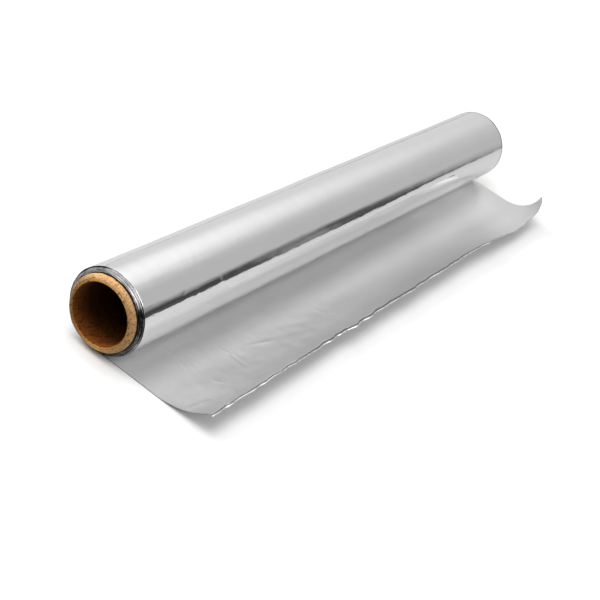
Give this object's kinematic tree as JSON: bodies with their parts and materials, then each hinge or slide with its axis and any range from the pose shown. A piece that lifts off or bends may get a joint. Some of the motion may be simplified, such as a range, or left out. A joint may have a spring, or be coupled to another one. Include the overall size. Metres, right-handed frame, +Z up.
{
  "type": "aluminium foil roll",
  "caption": "Roll of household aluminium foil wound on a paperboard core tube, with its loose end pulled out flat along the foot of the roll and curled up at the torn edge.",
  "frame": {"origin": "on the resting plane, under the roll's axis, at the middle of the foil's width", "axes": "+X along the roll's axis, +Z up, the loose sheet pulled out towards -Y"},
  "size_m": [0.3052, 0.0691, 0.0329],
  "materials": {
    "core_board": "matt, spiral-wound brown paperboard with cut rims",
    "foil": "bright rolled aluminium outside, satin on the inner side of the loose sheet"
  },
  "bodies": {
    "root": {"core_tube": "core_board", "foil": "foil"}
  },
  "joints": []
}
